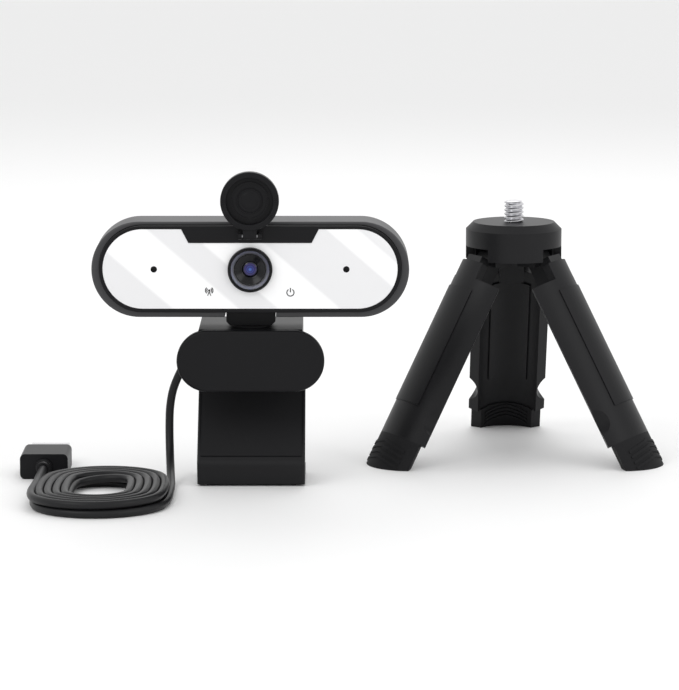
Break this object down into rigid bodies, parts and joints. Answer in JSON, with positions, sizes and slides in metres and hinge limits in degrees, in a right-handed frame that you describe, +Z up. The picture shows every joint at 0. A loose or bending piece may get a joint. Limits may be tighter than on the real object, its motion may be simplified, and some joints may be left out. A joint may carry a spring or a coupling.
{
  "type": "webcam",
  "caption": "Webcam with a wide stadium head, flip privacy cover, folding clip stand, coiled USB lead and a loose mini tripod.",
  "frame": {"origin": "middle of the clip foot's flat rubber underside, on the surface the camera stands on", "axes": "+Z up, -Y the way the lens looks, +X to the right seen from the front"},
  "size_m": [0.2048, 0.1613, 0.099],
  "materials": {
    "black": "satin",
    "grey_shell": "satin",
    "panel_white": "gloss",
    "leg_satin": "satin",
    "lens_silver": "polished",
    "lens_black": "gloss",
    "coated_glass": "gloss",
    "filter_glass": "gloss",
    "board_green": "satin",
    "chip_black": "matte",
    "bare_metal": "satin",
    "steel": "satin",
    "plated": "polished",
    "brass": "satin",
    "gold": "polished",
    "lamp": "gloss",
    "rubber": "matte",
    "cord": "satin",
    "tongue_white": "satin",
    "stand_black": "satin"
  },
  "bodies": {
    "clip": {"clip_arm": "black", "arm_cover": "black", "cover_screws": "steel", "front_lip": "black", "lip_pad": "rubber", "leg_hinge_pin": "steel", "strain_relief": "cord", "cord_lead": "cord", "cord_coil": "cord", "cord_tail": "cord", "plug_relief": "cord", "plug_body": "black", "plug_shell": "plated", "plug_insert": "tongue_white", "plug_contacts": "gold"},
    "leg": {"clip_leg": "leg_satin", "leg_pad": "rubber", "foot_pad": "rubber", "thread_insert": "brass"},
    "neck": {"neck_block": "black", "swivel_collar": "black", "friction_washer": "steel", "swivel_washer": "steel", "swivel_screw": "steel"},
    "head": {"rear_shell": "grey_shell", "front_bezel": "black", "front_panel": "panel_white", "lens_ring": "black", "lens_bevel": "lens_silver", "lens_barrel": "lens_black", "front_glass": "coated_glass", "inner_glasses": "coated_glass", "lens_spacers": "lens_black", "lens_holder": "chip_black", "ir_filter": "filter_glass", "image_sensor": "chip_black", "main_board": "board_green", "board_chips": "chip_black", "board_screws": "steel", "microphones": "bare_metal", "mic_gaskets": "rubber", "indicator_leds": "lamp", "light_guides": "lamp", "body_screws": "steel", "tilt_pin": "steel", "cover_base": "black", "cover_pin": "steel", "cover_adhesive": "rubber"},
    "cover": {"cover_cap": "black"},
    "tripod": {"tripod_hub": "stand_black", "tripod_screw": "bare_metal", "tripod_pins": "steel"},
    "tripod_left": {"tripod_leg_left": "stand_black", "tripod_pad_left": "rubber"},
    "tripod_right": {"tripod_leg_right": "stand_black", "tripod_pad_right": "rubber"},
    "tripod_back": {"tripod_leg_back": "stand_black", "tripod_pad_back": "rubber"}
  },
  "joints": [
    {"name": "leg_swing", "type": "hinge", "parent": "clip", "child": "leg", "pos_m": [0, 0.021, 0.0452], "axis": [1, 0, 0], "range_deg": [-12, 90]},
    {"name": "neck_pan", "type": "hinge", "parent": "clip", "child": "neck", "pos_m": [0, -0.002, 0.05], "axis": [0, 0, 1], "range_deg": [-90, 90]},
    {"name": "head_tilt", "type": "hinge", "parent": "neck", "child": "head", "pos_m": [0, -0.002, 0.0565], "axis": [1, 0, 0], "range_deg": [-18, 15]},
    {"name": "cover_flip", "type": "hinge", "parent": "head", "child": "cover", "pos_m": [0, -0.0152, 0.07925], "axis": [1, 0, 0], "range_deg": [0, 180]},
    {"name": "tripod_lift", "type": "slide", "parent": "clip", "child": "tripod", "axis": [0, 0, 1], "range_m": [0, 0.1]},
    {"name": "tripod_left_fold", "type": "hinge", "parent": "tripod", "child": "tripod_left", "pos_m": [0.07664, 0.04375, 0.0653], "axis": [0.5, -0.866, 0], "range_deg": [0, 29.4]},
    {"name": "tripod_right_fold", "type": "hinge", "parent": "tripod", "child": "tripod_right", "pos_m": [0.09136, 0.04375, 0.0653], "axis": [0.5, 0.866, 0], "range_deg": [0, 29.4]},
    {"name": "tripod_back_fold", "type": "hinge", "parent": "tripod", "child": "tripod_back", "pos_m": [0.084, 0.0565, 0.0653], "axis": [-1, 0, 0], "range_deg": [0, 29.4]}
  ]
}
